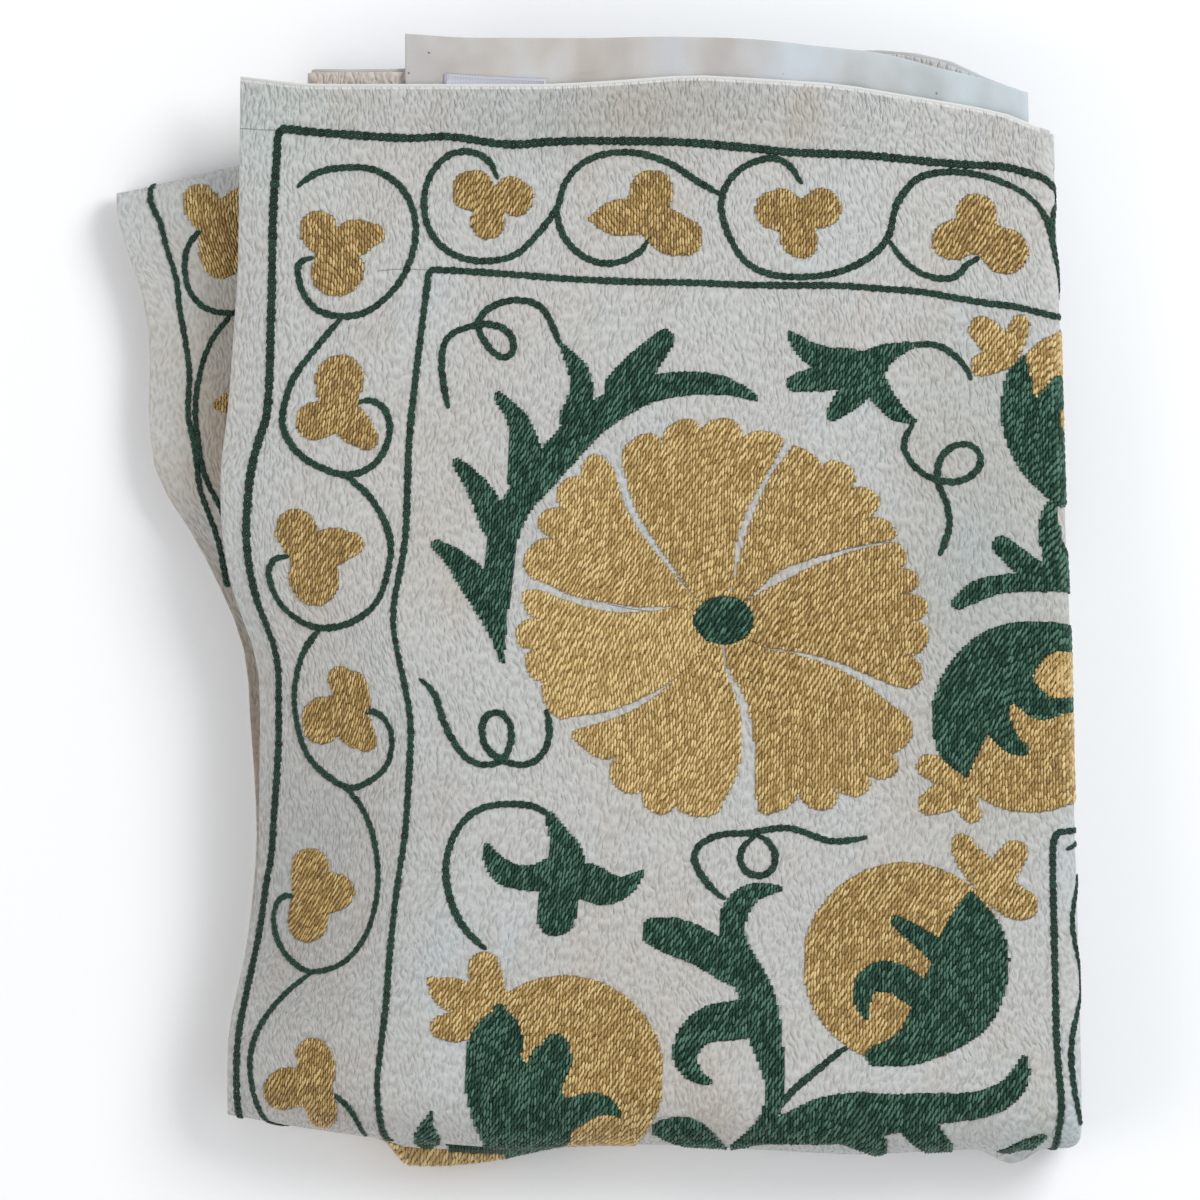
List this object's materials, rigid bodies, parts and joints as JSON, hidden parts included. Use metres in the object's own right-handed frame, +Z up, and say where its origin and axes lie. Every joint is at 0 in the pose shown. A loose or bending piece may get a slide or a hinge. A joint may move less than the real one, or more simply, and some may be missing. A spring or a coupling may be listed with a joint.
{
  "type": "folded suzani embroidered textile",
  "caption": "Lined cotton suzani with silk flower, pomegranate and scroll embroidery, folded down both ways into a soft flat pile.",
  "frame": {"origin": "middle of the underside, on the surface that the folded cloth lies on", "axes": "+Z up through the layers, +Y towards the loose top hems, +X towards the folded right side"},
  "size_m": [0.3856, 0.45, 0.0468],
  "materials": {
    "face_cloth": "off-white crinkled hand-woven cotton with laid silk stitching in gold and green",
    "lining": "smooth undyed cotton with a few dark flecks",
    "label": "smooth blank woven tape"
  },
  "bodies": {
    "root": {"face_cloth": "face_cloth", "lining": "lining", "label": "label"}
  },
  "joints": []
}
